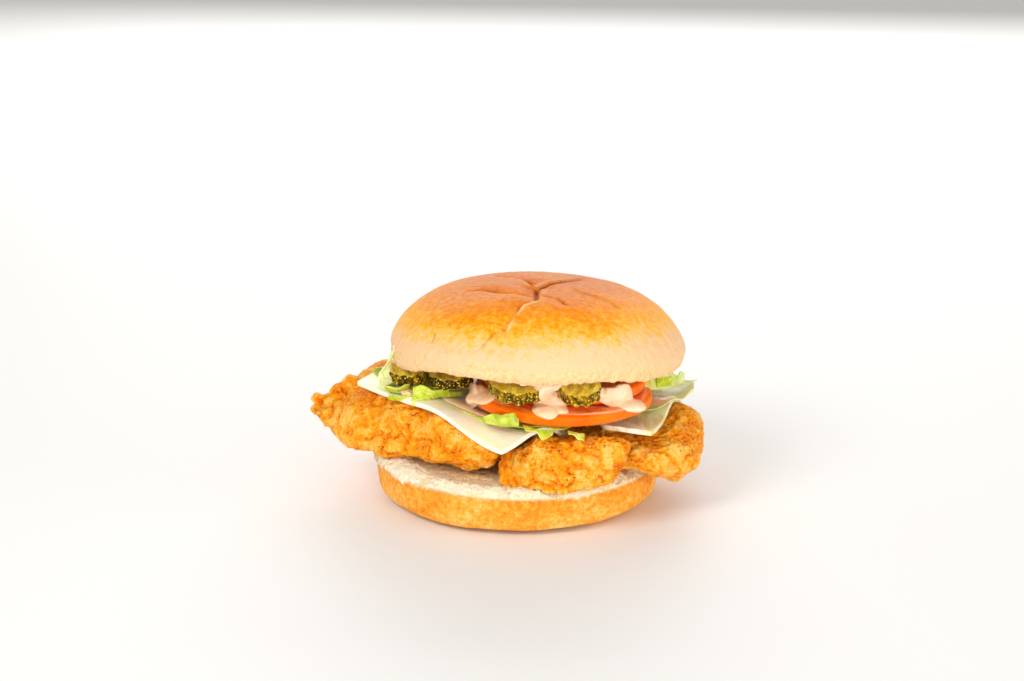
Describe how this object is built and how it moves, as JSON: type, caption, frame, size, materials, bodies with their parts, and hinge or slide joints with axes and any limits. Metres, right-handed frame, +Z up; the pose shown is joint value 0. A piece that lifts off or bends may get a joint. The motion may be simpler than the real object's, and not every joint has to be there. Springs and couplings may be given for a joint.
{
  "type": "chicken burger",
  "caption": "Stacked chicken burger: a soft round bun, propped open at the front, holds crusted fried chicken, sliced cheese, lettuce, tomato and crinkle-cut pickle.",
  "frame": {"origin": "middle of the heel bun's flat underside", "axes": "+X along the burger's widest reach, towards the right-hand fillet; -Y towards the propped-open front; +Z up"},
  "size_m": [0.1443, 0.1067, 0.0802],
  "materials": {
    "heel_crust": "soft matte baked crust",
    "crown_crust": "satin baked crust",
    "fried_crust": "rough, slightly oily fried coating",
    "cheese": "smooth, softly waxy",
    "lettuce": "satin, slightly translucent",
    "tomato": "wet gloss",
    "pickle": "wet gloss"
  },
  "bodies": {
    "root": {"heel_bun": "heel_crust", "crown_bun": "crown_crust", "fillet_left": "fried_crust", "fillet_right": "fried_crust", "fillet_front": "fried_crust", "cheese_left": "cheese", "cheese_right": "cheese", "lettuce_left": "lettuce", "lettuce_front": "lettuce", "lettuce_right": "lettuce", "tomato_front": "tomato", "tomato_back": "tomato", "pickle_1": "pickle", "pickle_2": "pickle", "pickle_3": "pickle", "pickle_4": "pickle"}
  },
  "joints": []
}
